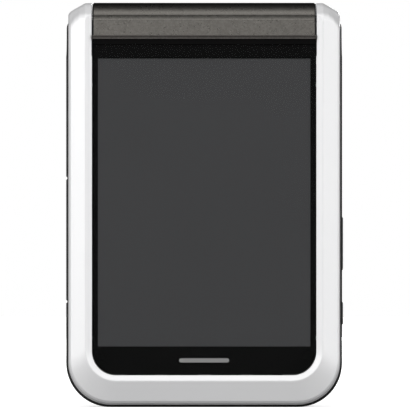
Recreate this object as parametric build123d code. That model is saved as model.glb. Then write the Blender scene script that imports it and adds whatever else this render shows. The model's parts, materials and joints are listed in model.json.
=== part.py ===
from build123d import *
import math
import os

os.makedirs("parts", exist_ok=True)

# Clamshell pocket organiser, closed and standing on its bottom edge.
# X runs across, Y runs through the thickness with the display facing -Y, Z runs up.
# The origin is the middle of the bottom edge. All sizes are millimetres.

# Overall size
BODY_HALF_W = 36.0
DEPTH = 19.5
LID_DEPTH = 7.0
BASE_TOP_Z = 101.5
BASE_CORNER_R = 11.5
BASE_TOP_R = 2.6
BASE_BACK_R = 2.0
REAR_INSET = 0.4
DECK_CHAMFER = 0.15
FRONT_Y = -DEPTH / 2
BACK_Y = DEPTH / 2

# Hinge: its axis runs along X through the plane where the halves part
AXIS_Y = FRONT_Y + LID_DEPTH
AXIS_Z = 99.0
BARREL_R = 6.45
BARREL_HALF_L = 28.75
BARREL_FLAT = 5.65
CREASE_Z, CREASE_R, CREASE_DEPTH = 2.65, 3.0, 0.11
WASHER_R = 6.2
CORE_R = 5.2
SLEEVE_END = BASE_TOP_Z - AXIS_Z + 0.1
EAR_IN_X = 29.3
EAR_WALL = 1.6
EAR_FOOT = 8.0
EAR_POCKET_R = 7.55
LID_SWEEP_R = 6.6
PIN_R, PIN_GRIP, WIRE_BORE_R = 2.0, 8.0, 2.6
DRIVE_FLAT_R, DRIVE_FLAT_W = 2.6, 3.8
BUSH_R = 3.0
CARTRIDGE_R, CARTRIDGE_L = 3.4, 16.0
RUNNING_GAP = 0.06

# Parting planes
DECK_Y = AXIS_Y + 0.10
LID_BACK_Y = AXIS_Y - 0.15
SEAM_Y = AXIS_Y + 8.4
WALL = 1.5
DECK_T = 1.4
INSIDE_Y = DECK_Y + DECK_T

# Lid frame: a ridge line, an inner chamfer down to the window, an outer facet
RIDGE_HALF_W, RIDGE_Z, RIDGE_R = 30.75, 7.10, 7.80
RIDGE_FLAT = 0.25
GLASS_HALF_W, GLASS_Z, GLASS_R = 29.2, 8.4, 6.2
FRAME_HALF_W, FRAME_Z, FRAME_R = 35.4, 0.70, 11.2
RECESS = 0.8
# The outside falls away in steps: half width, bottom height, corner radius, drop behind the ridge
EDGE_STEPS = (
    (34.7, 1.75, 10.60, 1.45),
    (35.15, 1.20, 11.00, 1.85),
    (FRAME_HALF_W, FRAME_Z, FRAME_R, 2.50),
)
# The ears follow the same steps: half width, drop, top radius, height of the brow, its rounding
EAR_STEPS = (
    (RIDGE_HALF_W + RIDGE_FLAT, 0.0, 6.35, 3.0, 2.2),
    (32.6, 0.627, 5.45, 2.8, 2.2),
    (33.8, 1.097, 4.80, 1.9, 2.2),
    (34.7, 1.45, 4.20, 0.7, 2.2),
    (35.15, 1.85, 3.80, 0.2, 2.0),
    (FRAME_HALF_W, 2.50, 3.30, -0.3, 1.8),
)
FRAME_BACK_Y = LID_BACK_Y - 1.05
FRAME_WALL = 1.7
COVER_TOP_Z = AXIS_Z - EAR_FOOT - 0.1

# Display stack in the lid
DISPLAY_W, DISPLAY_H = 55.3, 74.9
DISPLAY_Z = 15.9
WINDOW_Y = FRONT_Y + RECESS
WINDOW_T = 0.9
WINDOW_TOP_Z = 94.4
TRIM_LOW_Z, TRIM_LIP_Z, TRIM_T = 95.9, 96.9, 0.8
MASK_Y = WINDOW_Y + WINDOW_T
PANEL_Y = MASK_Y + 0.1
PANEL_T, PANEL_HALF_W, PANEL_LEDGE = 1.3, 28.8, 3.4
LIGHT_T = 0.6
CHASSIS_T = 0.6
CHASSIS_SLOTS, CHASSIS_PITCH, CHASSIS_SLOT_Z = 4, 11.0, 9.0
LID_MIDDLE_Y = PANEL_Y + PANEL_T + LIGHT_T + CHASSIS_T + 0.1
INNER_PANEL_W, INNER_PANEL_H, INNER_BORDER = 46.0, 60.0, 1.6
INNER_PANEL_Z, INNER_MARGIN, INNER_WINDOW_R = 22.0, 4.0, 2.5
LID_BOARD_HALF_W, LID_BOARD_Z0, LID_BOARD_Z1, LID_BOARD_T = 18.0, 8.0, 17.5, 0.6
MAGNET_X, MAGNET_Z, MAGNET_R, MAGNET_T = 24.5, 12.0, 2.0, 1.1
BUMPER_X, BUMPER_L, BUMPER_W = 24.0, 6.0, 2.2

# Dust rim round the deck, and the groove in the lid's inner cover that it stands in
RIM_HALF_W, RIM_Z, RIM_R, RIM_TOP_Z = 34.0, 1.9, 9.9, 90.4
RIM_W, RIM_H, RIM_GAP, RIM_GROOVE = 0.8, 0.24, 0.3, 0.2

# Keypad on the deck of the base
KEY_RECESS = 0.5
KEY_PROUD = 0.05
KEY_GAP = 0.15
KEY_EDGE_R = 0.22
FLANGE_T, FLANGE_OUT = 0.4, 0.35
PLUNGER_R = 1.2
DOME_R, DOME_T, DOME_SHEET_T = 1.9, 0.15, 0.25
KEY_W, KEY_H, KEY_R = 17.4, 7.6, 1.6
KEY_PITCH_X, KEY_PITCH_Z = 18.6, 9.0
KEY_ROWS, KEY_COLUMNS = 4, 3
KEY_LOW_Z = 13.0
NAV_Z = 66.0
NAV_R, SELECT_R, NAV_ARM = 11.0, 4.2, 7.6
NAV_EDGE_R, ARROW_SIDE = 0.4, 1.6
FUNCTION_X, FUNCTION_DZ = 22.0, 7.6
FUNCTION_W, FUNCTION_H, FUNCTION_R = 14.0, 6.6, 2.4

# Side keys on the right and the door on the left
SIDE_PROUD = 0.3
SIDE_KEY_Y = 1.4
SIDE_KEY_W = 2.4
SIDE_FLANGE = 0.8
VOLUME_Z0, VOLUME_Z1 = 35.7, 49.5
CAPTURE_Z0, CAPTURE_Z1 = 21.5, 27.3
DOOR_Z0, DOOR_Z1 = 27.5, 59.7
DOOR_Y0, DOOR_Y1 = -1.2, 3.9
DOOR_T = 1.2
DOOR_GAP = 0.2
DOOR_PIVOT_X = -BODY_HALF_W + DOOR_T / 2
DOOR_PIVOT_Y = DOOR_Y1 - DOOR_GAP - DOOR_T / 2
DOOR_PIN_R, DOOR_PIN_L = 0.3, 0.6
PEG_X, PEG_R, PEG_HALF_L = 33.75, 0.45, 2.4
LUG_IN, LUG_OUT = 1.95, 2.6
NOTCH_R, NOTCH_DEPTH = 0.45, 0.32
NAIL_W, NAIL_H, NAIL_DEPTH = 1.4, 10.0, 0.6

# Back of the base
BACK_T = 1.4
GRIP_RIBS, GRIP_PITCH, GRIP_LENGTH, GRIP_WIDTH, GRIP_DEPTH = 5, 1.6, 16.0, 0.8, 0.35
COVER_HALF_W, COVER_Z0, COVER_Z1 = 25.0, 9.0, 63.0
COVER_R = 3.0
COVER_GAP = 0.2
COVER_EDGE_R = 0.35
BAY_FLOOR_Y = 4.3
BATTERY_HALF_W, BATTERY_Z0, BATTERY_Z1 = 22.0, 12.0, 56.0
BAY_WALL, BAY_GAP, BAY_FLOOR_T = 1.0, 0.4, 0.7
BATTERY_SHORT = 1.2
CONTACT_X, CONTACT_W, CONTACT_T = 6.0, 1.6, 1.6
POST_X, POST_ZS = 31.0, (16.0, 87.0)
POST_R = 2.4
PILOT_R, SHANK_HOLE_R, HEAD_HOLE_R, HEAD_DEPTH = 0.8, 1.1, 2.1, 2.2
SCREW_R, SCREW_HEAD_R, SCREW_HEAD_T, SCREW_GRIP, CROSS_W, CROSS_T = 0.78, 2.0, 1.3, 4.0, 2.2, 0.5
LID_POST_X, LID_POST_ZS = 31.2, (18.0, 84.0)
LID_POST_R, LID_PILOT_R, LID_SHANK_HOLE_R, LID_HEAD_HOLE_R, LID_HEAD_DEPTH = 2.1, 0.7, 0.9, 1.6, 0.65
LID_SCREW_R, LID_SCREW_HEAD_R, LID_SCREW_L, LID_CROSS_W, LID_CROSS_T = 0.68, 1.5, 2.6, 1.7, 0.35
SPEAKER_X, SPEAKER_Z, SPEAKER_R, SPEAKER_T = 0.0, 80.0, 7.5, 2.6
SLOTS, SLOT_PITCH, SLOT_LENGTH, SLOT_WIDTH = 5, 2.2, 11.0, 0.9

# Inside the base
KEY_UNDER = 0.2
BOARD_Y, BOARD_T = 1.0, 1.0
PLUNGER_END_Y = BOARD_Y - 0.75
BOARD_HALF_W = 28.2
BOARD_Z0, BOARD_Z1 = 4.0, 88.0
SHIELD_HALF_W, SHIELD_Z0, SHIELD_Z1, SHIELD_T = 14.0, 62.0, 72.0, 2.0
CARD_Z0, CARD_Z1, CARD_L, CARD_T = DOOR_Z0 + 9.0, DOOR_Z1 - 0.6, 19.4, 2.1
PLUG_Z0, PLUG_Z1, PLUG_Y0, PLUG_Y1 = DOOR_Z0 + 1.0, DOOR_Z0 + 8.4, 0.5, 3.3
SOCKET_X = -BODY_HALF_W + 1.6
SWITCH_HALF = 1.6
FLEX_HALF_W, FLEX_T, FLEX_Z0 = 7.0, 0.15, 78.0
MICROPHONE_X, MICROPHONE_Z, MICROPHONE_R = 22.0, 84.0, 2.0


def block(x0, x1, y0, y1, z0, z1):
    """A box given by its limits."""
    size = (x1 - x0, y1 - y0, z1 - z0)
    middle = ((x0 + x1) / 2, (y0 + y1) / 2, (z0 + z1) / 2)
    return Pos(*middle) * Box(*size)


def slab(face, y0, y1):
    """A face drawn in (x, z), made solid between two depths."""
    plane = Plane(origin=(0, y1, 0), x_dir=(1, 0, 0), z_dir=(0, -1, 0))
    return extrude(plane * face, amount=y1 - y0)


def side_slab(face, x0, x1):
    """A face drawn in (y, z), made solid between two places across the width."""
    plane = Plane(origin=(x0, 0, 0), x_dir=(0, 1, 0), z_dir=(1, 0, 0))
    return extrude(plane * face, amount=x1 - x0)


def rod_x(radius, x0, x1, y=AXIS_Y, z=AXIS_Z):
    """A round bar along X, on the hinge axis unless placed elsewhere."""
    return side_slab(Pos(y, z) * Circle(radius), x0, x1)


def rod_y(radius, x, z, y0, y1):
    """A round bar through the thickness."""
    return slab(Pos(x, z) * Circle(radius), y0, y1)


def rod_z(radius, x, y, z0, z1):
    """A round bar along the height."""
    return Pos(x, y, z0) * extrude(Circle(radius), amount=z1 - z0)


def mirrored(solid):
    """The same solid on the other side of the middle plane."""
    return mirror(solid, about=Plane.YZ)


def outline(half_w, z0, z1, low_r, top_r=0.0):
    """The front outline of a shell, with its own radius at the bottom and top corners."""
    face = Pos(0, (z0 + z1) / 2) * Rectangle(2 * half_w, z1 - z0)
    corners = face.vertices().sort_by(Axis.Y)
    face = fillet(corners[:2], low_r)
    if top_r:
        face = fillet(face.vertices().sort_by(Axis.Y)[-2:], top_r)
    return face


def part(name, shape):
    """Write one sub-part."""
    solids = shape.solids()
    shape = solids[0] if len(solids) == 1 else Compound(children=list(solids))
    export_step(shape, f"parts/{name}.step")


# ---------------------------------------------------------------- base casing

def ear_pockets():
    """The room that the lid's two ears turn in."""
    pocket = rod_x(EAR_POCKET_R, EAR_IN_X - 0.15, BODY_HALF_W + 1)
    return pocket + mirrored(pocket)


def base_block(y0, y1, inset=0.0):
    """The base's outer form between two depths."""
    face = outline(BODY_HALF_W - inset, inset, BASE_TOP_Z - inset,
                   BASE_CORNER_R - inset, BASE_TOP_R - inset)
    return slab(face, y0, y1)


def screw_posts(y0, y1, radius):
    """Four round places at the base's screws."""
    places = [(x, z) for x in (-POST_X, POST_X) for z in POST_ZS]
    return [rod_y(radius, x, z, y0, y1) for x, z in places]


def key_places():
    """Name, centre and outline of each key on the deck."""
    places = []
    for row in range(KEY_ROWS):
        for column in range(KEY_COLUMNS):
            x = (column - 1) * KEY_PITCH_X
            z = KEY_LOW_Z + (KEY_ROWS - 1 - row) * KEY_PITCH_Z
            name = f"number_key_{row * KEY_COLUMNS + column + 1:02d}"
            places.append((name, x, z, KEY_W, KEY_H, KEY_R))
    for side, x in (("left", -FUNCTION_X), ("right", FUNCTION_X)):
        for level, dz in (("upper", FUNCTION_DZ), ("lower", -FUNCTION_DZ)):
            name = f"function_key_{level}_{side}"
            places.append((name, x, NAV_Z + dz, FUNCTION_W, FUNCTION_H, FUNCTION_R))
    return places


def side_key_slot(z0, z1, gap):
    """The slot in the right wall that a side key moves in."""
    face = Pos(SIDE_KEY_Y, (z0 + z1) / 2)
    face *= RectangleRounded(SIDE_KEY_W + 2 * gap, z1 - z0 + 2 * gap, SIDE_KEY_W / 2)
    return side_slab(face, BODY_HALF_W - WALL - 2, BODY_HALF_W + 1)


def door_face(gap, rear_y):
    """The side door's outline from the side, rounded at its two front corners."""
    front_y = DOOR_Y0 + gap
    middle = Pos((front_y + rear_y) / 2, (DOOR_Z0 + DOOR_Z1) / 2)
    face = middle * Rectangle(rear_y - front_y, DOOR_Z1 - DOOR_Z0 - 2 * gap)
    return fillet(face.vertices().sort_by(Axis.X)[:2], 0.8)


def volume_key_lugs():
    """Two lugs inside the right wall that the volume key rocks in."""
    middle = (VOLUME_Z0 + VOLUME_Z1) / 2
    wall = BODY_HALF_W - WALL + 0.1
    lugs = []
    for side in (-1, 1):
        near, far = sorted((SIDE_KEY_Y + side * LUG_IN, SIDE_KEY_Y + side * LUG_OUT))
        lugs.append(block(PEG_X - 0.75, wall, near, far, middle - 1, middle + 1))
    return lugs


def dust_rim(gap, top_z, y0, y1):
    """A U-shaped strip round the deck, or with a gap the groove that clears it."""
    outer = outline(RIM_HALF_W + gap, RIM_Z - gap, top_z, RIM_R + gap)
    edge = RIM_W + gap
    inner = outline(RIM_HALF_W - edge, RIM_Z + edge, top_z + 1, RIM_R - edge)
    return slab(outer - inner, y0, y1)


def base_front_shell():
    """The deck and side walls, with the dust rim, key holes, door opening and side slots."""
    shell = base_block(DECK_Y, SEAM_Y)
    shell = chamfer(shell.faces().sort_by(Axis.Y)[-1].edges(), REAR_INSET)
    shell = chamfer(shell.faces().sort_by(Axis.Y)[0].edges(), DECK_CHAMFER)
    shell += dust_rim(0, RIM_TOP_Z, DECK_Y - RIM_H, DECK_Y)
    inner = outline(BODY_HALF_W - WALL, WALL, AXIS_Z - EAR_POCKET_R - 1.2, BASE_CORNER_R - WALL, 2)
    shell -= slab(inner, INSIDE_Y, SEAM_Y)
    for post in screw_posts(INSIDE_Y, SEAM_Y, POST_R):
        shell += post
    for bore in screw_posts(INSIDE_Y + 0.4, SEAM_Y, PILOT_R):
        shell -= bore
    shell -= ear_pockets()
    shell -= rod_x(CORE_R, -EAR_IN_X, EAR_IN_X)

    field = outline(KEY_PITCH_X * 1.5 + 0.6, KEY_LOW_Z - 5.6, NAV_Z + 13, 3, 3)
    shell -= slab(field, DECK_Y, DECK_Y + KEY_RECESS)
    for _, x, z, w, h, r in key_places():
        hole = RectangleRounded(w + 2 * KEY_GAP, h + 2 * KEY_GAP, r + KEY_GAP)
        shell -= slab(Pos(x, z) * hole, DECK_Y, INSIDE_Y)
    shell -= rod_y(NAV_R + KEY_GAP, 0, NAV_Z, DECK_Y, INSIDE_Y)

    shell -= side_key_slot(VOLUME_Z0, VOLUME_Z1, KEY_GAP)
    shell -= side_key_slot(CAPTURE_Z0, CAPTURE_Z1, KEY_GAP)
    for lug in volume_key_lugs():
        shell += lug
    shell -= rod_y(PEG_R + 0.05, PEG_X, (VOLUME_Z0 + VOLUME_Z1) / 2,
                   SIDE_KEY_Y - PEG_HALF_L - 0.1, SIDE_KEY_Y + PEG_HALF_L + 0.1)
    shell -= side_slab(door_face(0, DOOR_Y1), -BODY_HALF_W - 1, -BODY_HALF_W + DOOR_T + 0.1)
    shell -= rod_z(DOOR_PIN_R + RUNNING_GAP, DOOR_PIVOT_X, DOOR_PIVOT_Y,
                   DOOR_Z0 - DOOR_PIN_L, DOOR_Z1 + DOOR_PIN_L)
    for z in (DOOR_Z0, DOOR_Z1):
        shell -= rod_y(NOTCH_R, -BODY_HALF_W - NOTCH_R + NOTCH_DEPTH, z, DECK_Y - 1, SEAM_Y + 1)
    nail = Pos(DOOR_Y0, (DOOR_Z0 + DOOR_Z1) / 2) * RectangleRounded(NAIL_W, NAIL_H, NAIL_W / 2 - 0.05)
    shell -= side_slab(nail, -BODY_HALF_W - 1, -BODY_HALF_W + NAIL_DEPTH)
    card_y = BOARD_Y + BOARD_T
    shell -= block(-BODY_HALF_W, SOCKET_X + 0.4, card_y + 0.1, card_y + 1.6, CARD_Z0 + 0.5, CARD_Z1 - 0.3)
    return shell - block(-BODY_HALF_W, SOCKET_X + 0.4, PLUG_Y0 - 0.1, PLUG_Y1 + 0.1,
                         PLUG_Z0 - 0.1, PLUG_Z1 + 0.1)


def base_rear_shell():
    """The back tray, with the battery bay, the speaker slots and the screw holes."""
    shell = base_block(SEAM_Y, BACK_Y, REAR_INSET)
    shell = fillet(shell.faces().sort_by(Axis.Y)[-1].edges(), BASE_BACK_R)
    inner = outline(BODY_HALF_W - WALL, WALL, BASE_TOP_Z - 2 * WALL, BASE_CORNER_R - WALL, 3)
    shell -= slab(inner, SEAM_Y, BACK_Y - BACK_T)
    around = BAY_GAP + BAY_WALL
    bay = outline(BATTERY_HALF_W + around, BATTERY_Z0 - around, BATTERY_Z1 + around, 1)
    shell += slab(bay, BAY_FLOOR_Y, BACK_Y - BACK_T)
    room = outline(BATTERY_HALF_W + BAY_GAP, BATTERY_Z0 - BAY_GAP, BATTERY_Z1 + BAY_GAP, 0.6)
    shell -= slab(room, BAY_FLOOR_Y + BAY_FLOOR_T, BACK_Y)
    shell -= slab(outline(COVER_HALF_W, COVER_Z0, COVER_Z1, COVER_R, COVER_R),
                  BACK_Y - BACK_T + 0.05, BACK_Y + 0.1)
    for post in screw_posts(SEAM_Y, BACK_Y - BACK_T, POST_R):
        shell += post
    for bore in screw_posts(SEAM_Y, BACK_Y, SHANK_HOLE_R):
        shell -= bore
    for head in screw_posts(BACK_Y - HEAD_DEPTH, BACK_Y, HEAD_HOLE_R):
        shell -= head
    for index in range(SLOTS):
        step = index - (SLOTS - 1) / 2
        slot = SlotOverall(SLOT_LENGTH - abs(step), SLOT_WIDTH)
        shell -= slab(Pos(SPEAKER_X, SPEAKER_Z + step * SLOT_PITCH) * slot, BACK_Y - BACK_T, BACK_Y)
    return shell


def battery_cover():
    """The lift-out cover over the battery bay, with grip ribs at its top end."""
    face = outline(COVER_HALF_W - COVER_GAP, COVER_Z0 + COVER_GAP, COVER_Z1 - COVER_GAP,
                   COVER_R - COVER_GAP, COVER_R - COVER_GAP)
    cover = slab(face, BACK_Y - BACK_T + 0.15, BACK_Y)
    cover = fillet(cover.faces().sort_by(Axis.Y)[-1].edges(), COVER_EDGE_R)
    for index in range(GRIP_RIBS):
        rib = Pos(0, COVER_Z1 - 5.0 - index * GRIP_PITCH) * SlotOverall(GRIP_LENGTH, GRIP_WIDTH)
        cover -= slab(rib, BACK_Y - GRIP_DEPTH, BACK_Y)
    return cover


# ---------------------------------------------------------------- hinge

def barrel_section(radius):
    """The barrel's round section with its flat front, in (y, z) about the axis."""
    section = Circle(radius)
    front = radius - BARREL_R + BARREL_FLAT
    section -= Pos(-front - 5, 0) * Rectangle(10, 30)
    return section


def sleeve_section(radius):
    """The part of the barrel's section that stands clear of the base."""
    return barrel_section(radius) - Pos(10 + 0.1, SLEEVE_END - 10) * Rectangle(20, 20)


def hinge_washers():
    """A dark ring in the gap between each end of the barrel and its ear."""
    section = sleeve_section(WASHER_R) + Circle(CORE_R - 0.05) - Circle(PIN_R + RUNNING_GAP)
    washer = side_slab(Pos(AXIS_Y, AXIS_Z) * section, BARREL_HALF_L + 0.02, EAR_IN_X - 0.17)
    return Compound(children=[washer, mirrored(washer)])


def hinge_barrel_cover():
    """The metal-coloured sleeve between the ears: flat front, crease, rounded top."""
    section = sleeve_section(BARREL_R) - Circle(CORE_R)
    groove = Pos(-BARREL_FLAT - CREASE_R + CREASE_DEPTH, CREASE_Z) * Circle(CREASE_R)
    return side_slab(Pos(AXIS_Y, AXIS_Z) * (section - groove), -BARREL_HALF_L, BARREL_HALF_L)


def hinge_core():
    """The die-cast carrier in the barrel, with its pin bore and its cartridge bore."""
    core = rod_x(CORE_R - 0.05, -BARREL_HALF_L + 0.2, BARREL_HALF_L - 0.2)
    core -= rod_x(PIN_R, BARREL_HALF_L - PIN_GRIP, BARREL_HALF_L)
    core -= rod_x(CARTRIDGE_R, -BARREL_HALF_L, -BARREL_HALF_L + CARTRIDGE_L)
    core -= rod_x(WIRE_BORE_R, -BARREL_HALF_L + CARTRIDGE_L + 1.5, BARREL_HALF_L - PIN_GRIP - 1.5)
    return core


def hinge_cartridge():
    """The sealed click unit that holds the lid open or shut."""
    unit = rod_x(CARTRIDGE_R, -BARREL_HALF_L + 0.3, -BARREL_HALF_L + CARTRIDGE_L)
    bore_end = -BARREL_HALF_L + CARTRIDGE_L - 3
    return unit - rod_x(PIN_R + RUNNING_GAP, -BARREL_HALF_L, bore_end)


def drive_flats():
    """The end of the drive pin in the left ear, round with two flats."""
    face = Circle(DRIVE_FLAT_R) & Rectangle(DRIVE_FLAT_W, 2 * BUSH_R)
    return side_slab(Pos(AXIS_Y, AXIS_Z) * face, -FRAME_HALF_W + EAR_WALL, -EAR_IN_X)


def hinge_drive_pin():
    """The pin that the lid turns in the click unit, with flats in the ear."""
    pin = rod_x(PIN_R, -EAR_IN_X, -BARREL_HALF_L + CARTRIDGE_L - 3.5)
    return pin + drive_flats()


def hinge_pin():
    """The plain pin in the right end of the barrel."""
    return rod_x(PIN_R, BARREL_HALF_L - PIN_GRIP, FRAME_HALF_W - EAR_WALL - 0.2)


def hinge_bush():
    """The plastic bush in the right ear."""
    bush = rod_x(BUSH_R, EAR_IN_X, FRAME_HALF_W - EAR_WALL)
    return bush - rod_x(PIN_R + RUNNING_GAP, EAR_IN_X, FRAME_HALF_W - EAR_WALL)


# ---------------------------------------------------------------- lid

def frame_room(y0, y1):
    """The opening for the display, open towards the hinge."""
    return slab(outline(GLASS_HALF_W, GLASS_Z, AXIS_Z + 10, GLASS_R), y0, y1)


def ear_section(front, radius, crease, rounding):
    """An ear's side outline about the axis: flat front, softly turned brow, round top."""
    reach = math.hypot(front, crease)
    corner = math.atan2(crease, -front)
    touch = corner + math.acos(radius / reach)
    brow = (-radius * math.cos(touch), radius * math.sin(touch))
    low = -math.sqrt(radius ** 2 - 0.15 ** 2)
    start = (-0.15, low)
    top = (radius * math.cos(0.3), radius * math.sin(0.3))
    lines = [
        Line((front, -EAR_FOOT), (front, crease)),
        Line((front, crease), brow),
        ThreePointArc(brow, top, start),
        Line(start, (-0.15, -EAR_FOOT)),
        Line((-0.15, -EAR_FOOT), (front, -EAR_FOOT)),
    ]
    face = make_face(Wire(lines))
    return fillet(face.vertices().sort_by_distance((front, crease, 0))[0], rounding)


def ear_plane(x):
    """The plane of an ear section, with its origin on the hinge axis."""
    return Plane(origin=(x, AXIS_Y, AXIS_Z), x_dir=(0, 1, 0), z_dir=(1, 0, 0))


def right_ear():
    """The ear that carries the lid on the barrel's right end."""
    sections = [(x, ear_section(-LID_DEPTH + drop, radius, crease, rounding))
                for x, drop, radius, crease, rounding in EAR_STEPS]
    x, section = sections[0]
    ear = extrude(ear_plane(EAR_IN_X) * section, amount=x - EAR_IN_X)
    for (x0, near), (x1, far) in zip(sections, sections[1:]):
        ear += loft([ear_plane(x0) * near, ear_plane(x1) * far], ruled=True)
    return ear


def front_plane(y):
    """A plane at one depth, drawn on in (x, z)."""
    return Plane(origin=(0, y, 0), x_dir=(1, 0, 0), z_dir=(0, -1, 0))


def lid_frame():
    """The white frame round the display, with its facets and the two hinge ears."""
    leg_top = AXIS_Z - EAR_FOOT + 0.5
    levels = [(FRONT_Y, outline(RIDGE_HALF_W + RIDGE_FLAT, RIDGE_Z - RIDGE_FLAT, leg_top,
                                RIDGE_R + RIDGE_FLAT))]
    levels += [(FRONT_Y + drop, outline(half_w, z, leg_top, r)) for half_w, z, r, drop in EDGE_STEPS]
    frame = slab(levels[-1][1], levels[-1][0], FRAME_BACK_Y)
    for (y0, near), (y1, far) in zip(levels, levels[1:]):
        frame += loft([front_plane(y1) * far, front_plane(y0) * near], ruled=True)
    ear = right_ear()
    frame += ear + mirrored(ear)
    mouth = outline(GLASS_HALF_W, GLASS_Z, AXIS_Z + 10, GLASS_R)
    brim = outline(RIDGE_HALF_W, RIDGE_Z, AXIS_Z + 10, RIDGE_R)
    frame -= loft([front_plane(WINDOW_Y) * mouth, front_plane(FRONT_Y) * brim], ruled=True)
    frame -= frame_room(WINDOW_Y, FRAME_BACK_Y)
    back_room = outline(FRAME_HALF_W - FRAME_WALL, FRAME_Z + FRAME_WALL, COVER_TOP_Z - 1.5,
                        FRAME_R - FRAME_WALL)
    frame -= slab(back_room, PANEL_Y + PANEL_T, FRAME_BACK_Y)
    for x in (-LID_POST_X, LID_POST_X):
        for z in LID_POST_ZS:
            frame += rod_y(LID_POST_R, x, z, PANEL_Y + PANEL_T - 0.1, FRAME_BACK_Y)
            frame -= rod_y(LID_PILOT_R, x, z, PANEL_Y + PANEL_T + 0.4, FRAME_BACK_Y)
    return frame - rod_x(BUSH_R, EAR_IN_X, FRAME_HALF_W - EAR_WALL) - drive_flats()


def lid_top_trim():
    """The strip along the hinge: a lip over the barrel, and a curved wall behind it."""
    half = GLASS_HALF_W - 0.1
    body = block(-half, half, FRONT_Y, LID_BACK_Y - 1.1, COVER_TOP_Z + 0.1, TRIM_LIP_Z)
    body &= rod_x(LID_SWEEP_R + TRIM_T, -40, 40)
    lip = block(-half, half, FRONT_Y + 0.1, FRONT_Y + 2, TRIM_LOW_Z, TRIM_LIP_Z)
    front = block(-half, half, WINDOW_Y, WINDOW_Y + 2, WINDOW_TOP_Z + 0.05, TRIM_LOW_Z)
    body -= block(-40, 40, FRONT_Y - 1, PANEL_Y + 0.02, 0, WINDOW_TOP_Z + 0.05)
    body -= block(-40, 40, FRONT_Y - 1, WINDOW_Y, 0, TRIM_LOW_Z)
    return body + lip + front - rod_x(LID_SWEEP_R, -40, 40)


def display_window():
    """The outer window, set below the ridge."""
    gap = 0.08
    face = outline(GLASS_HALF_W - gap, GLASS_Z + gap, WINDOW_TOP_Z, GLASS_R - gap)
    return slab(face, WINDOW_Y, WINDOW_Y + WINDOW_T) - rod_x(LID_SWEEP_R, -40, 40)


def window_mask():
    """The black border film behind the window, open over the display."""
    face = outline(GLASS_HALF_W - 0.2, GLASS_Z + 0.2, WINDOW_TOP_Z - 0.05, GLASS_R - 0.2)
    face -= Pos(0, DISPLAY_Z + DISPLAY_H / 2) * Rectangle(DISPLAY_W, DISPLAY_H)
    return slab(face, MASK_Y, PANEL_Y)


def outer_display():
    """The liquid crystal panel that faces out."""
    return block(-PANEL_HALF_W, PANEL_HALF_W, PANEL_Y, PANEL_Y + PANEL_T,
                 DISPLAY_Z - PANEL_LEDGE, DISPLAY_Z + DISPLAY_H + 1)


def display_backlight():
    """The light guide behind the outer panel."""
    y0 = PANEL_Y + PANEL_T + 0.02
    return block(-PANEL_HALF_W + 0.4, PANEL_HALF_W - 0.4, y0, y0 + LIGHT_T,
                 DISPLAY_Z - PANEL_LEDGE + 0.6, DISPLAY_Z + DISPLAY_H + 0.4)


def lid_chassis():
    """The stiffening plate between the two displays."""
    y0 = PANEL_Y + PANEL_T + LIGHT_T + 0.05
    plate = slab(outline(PANEL_HALF_W + 0.1, 5.0, COVER_TOP_Z - 1.8, 4), y0, y0 + CHASSIS_T)
    for index in range(CHASSIS_SLOTS):
        x = (index - (CHASSIS_SLOTS - 1) / 2) * CHASSIS_PITCH
        plate -= slab(Pos(x, CHASSIS_SLOT_Z) * SlotOverall(8, 2.4), y0, y0 + CHASSIS_T)
    return plate


def inner_display():
    """The liquid crystal panel that faces the keys."""
    half = INNER_PANEL_W / 2 + INNER_BORDER
    return block(-half, half, LID_MIDDLE_Y, FRAME_BACK_Y - 0.05,
                 INNER_PANEL_Z - 3, INNER_PANEL_Z + INNER_PANEL_H + 2)


def inner_window_face(margin):
    """The inner window's rounded outline, a margin larger than the part of the panel that shows."""
    middle = Pos(0, INNER_PANEL_Z + INNER_PANEL_H / 2)
    corner = INNER_WINDOW_R - INNER_MARGIN + margin
    return middle * RectangleRounded(INNER_PANEL_W + 2 * margin, INNER_PANEL_H + 2 * margin, corner)


def lid_inner_cover():
    """The cover on the inner side of the lid, with the seat of the inner window."""
    face = outline(FRAME_HALF_W - 0.25, FRAME_Z + 0.25, COVER_TOP_Z, FRAME_R - 0.25)
    cover = slab(face, FRAME_BACK_Y + 0.02, LID_BACK_Y)
    cover -= dust_rim(RIM_GAP, COVER_TOP_Z + 1, LID_BACK_Y - RIM_GROOVE, LID_BACK_Y)
    cover -= slab(inner_window_face(INNER_MARGIN), LID_BACK_Y - 0.75, LID_BACK_Y)
    middle = Pos(0, INNER_PANEL_Z + INNER_PANEL_H / 2)
    cover -= slab(middle * Rectangle(INNER_PANEL_W, INNER_PANEL_H), FRAME_BACK_Y, LID_BACK_Y)
    for x in (-LID_POST_X, LID_POST_X):
        for z in LID_POST_ZS:
            cover -= rod_y(LID_SHANK_HOLE_R, x, z, FRAME_BACK_Y, LID_BACK_Y)
            cover -= rod_y(LID_HEAD_HOLE_R, x, z, LID_BACK_Y - LID_HEAD_DEPTH, LID_BACK_Y)
    return cover


def inner_window():
    """The window over the inner display."""
    return slab(inner_window_face(INNER_MARGIN - 0.1), LID_BACK_Y - 0.72, LID_BACK_Y - 0.05)


def cross_slot(x, z, width, thickness, y0, y1):
    """The cross in a screw's head."""
    face = Rectangle(width, thickness) + Rectangle(thickness, width)
    return slab(Pos(x, z) * face, y0, y1)


def lid_screws():
    """Four small screws that hold the inner cover to the frame."""
    screws = []
    for x in (-LID_POST_X, LID_POST_X):
        for z in LID_POST_ZS:
            seat = LID_BACK_Y - LID_HEAD_DEPTH + 0.03
            screw = rod_y(LID_SCREW_HEAD_R, x, z, seat, LID_BACK_Y - 0.12)
            screw += rod_y(LID_SCREW_R, x, z, LID_BACK_Y - LID_SCREW_L, seat)
            screw -= cross_slot(x, z, LID_CROSS_W, LID_CROSS_T, LID_BACK_Y - 0.35, LID_BACK_Y)
            screws.append(screw)
    return Compound(children=screws)


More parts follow.
